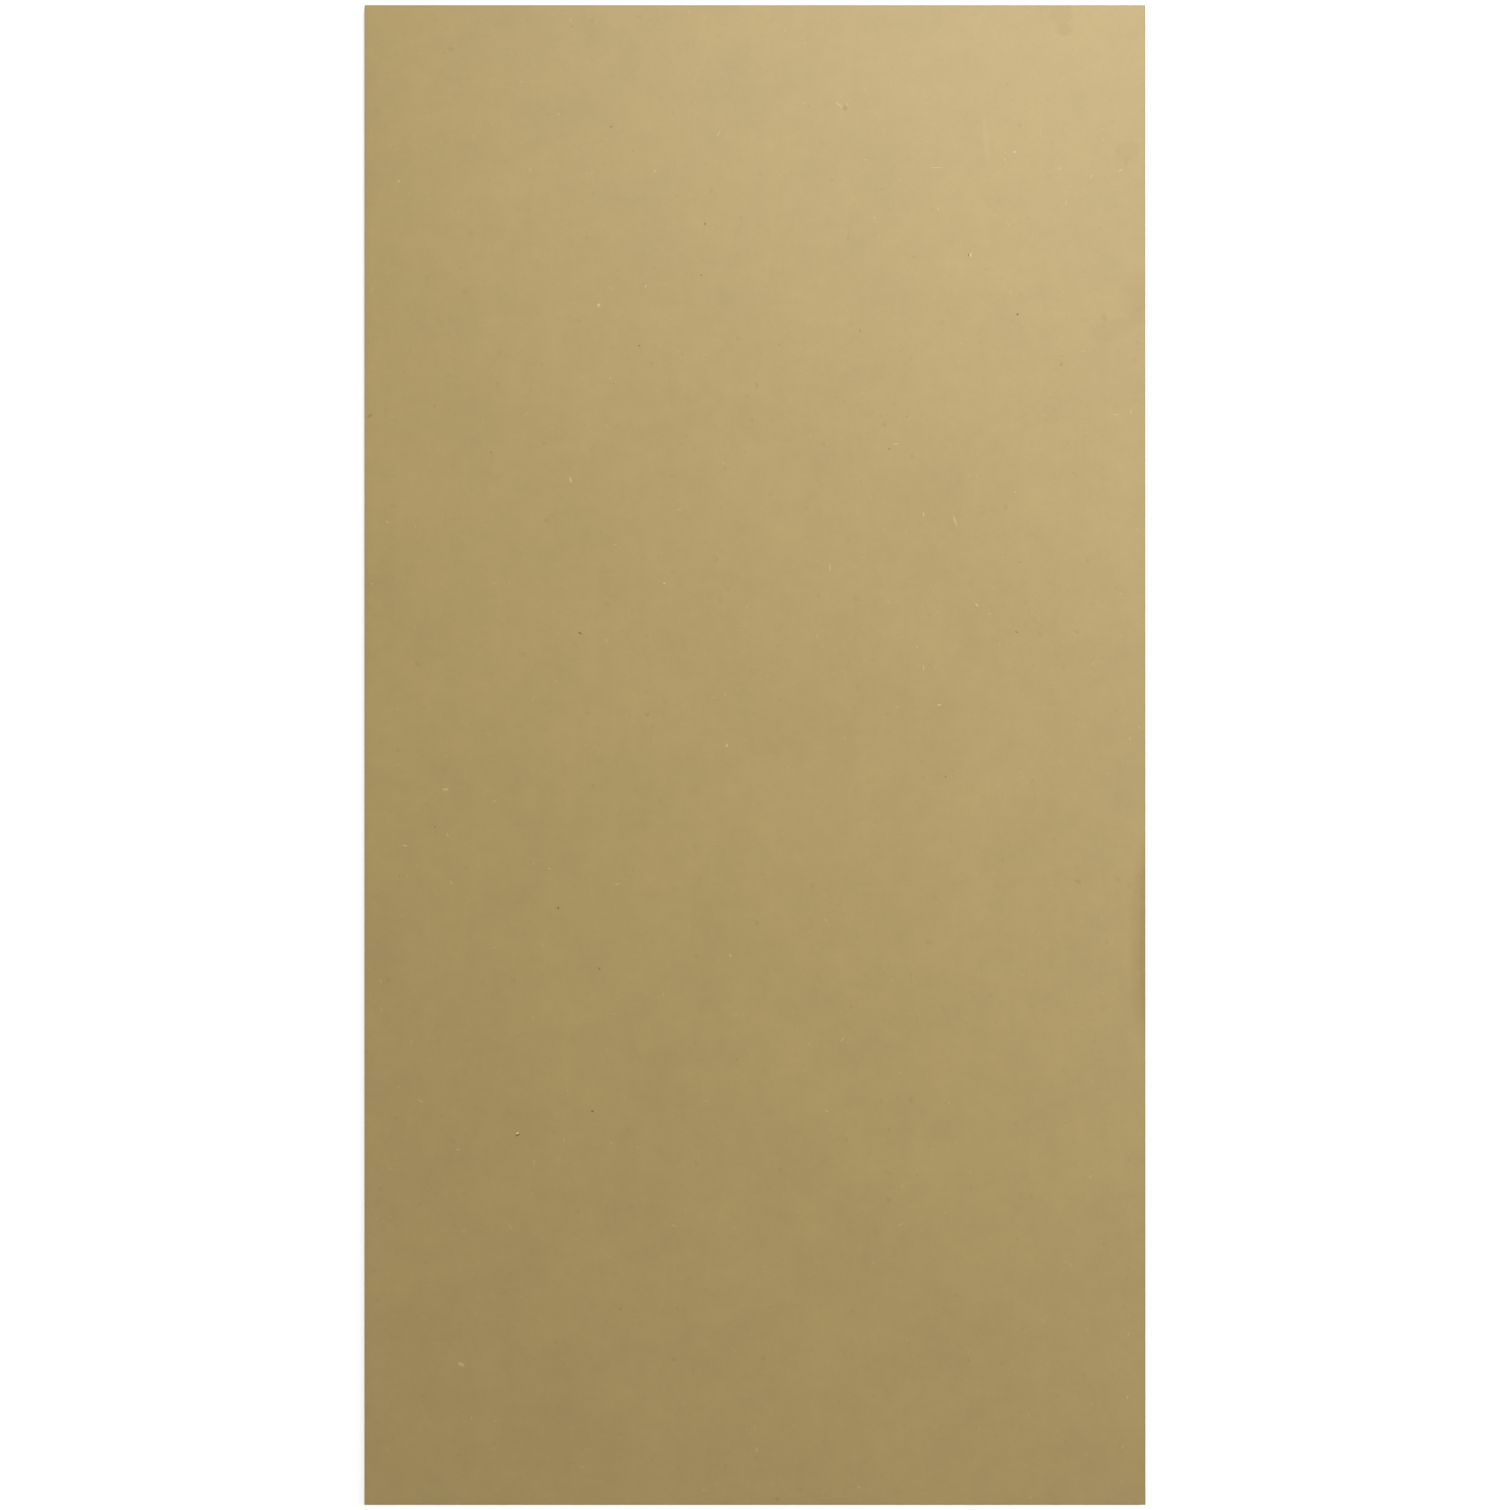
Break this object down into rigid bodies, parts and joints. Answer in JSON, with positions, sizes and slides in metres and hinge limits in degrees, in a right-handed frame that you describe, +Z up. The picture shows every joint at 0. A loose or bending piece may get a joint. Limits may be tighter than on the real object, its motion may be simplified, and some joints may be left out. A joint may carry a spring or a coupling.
{
  "type": "mdf board",
  "caption": "Full rectangular sheet of raw medium density fibreboard with smooth sanded faces and square sawn edges, lying flat.",
  "frame": {"origin": "middle of the underside, on the surface that the board lies on", "axes": "+Z up through the thickness, from the underside to the top face; +Y along the length; +X across the width"},
  "size_m": [1.25, 2.4, 0.018],
  "materials": {
    "raw_mdf": "matte"
  },
  "bodies": {
    "root": {"mdf_board": "raw_mdf"}
  },
  "joints": []
}
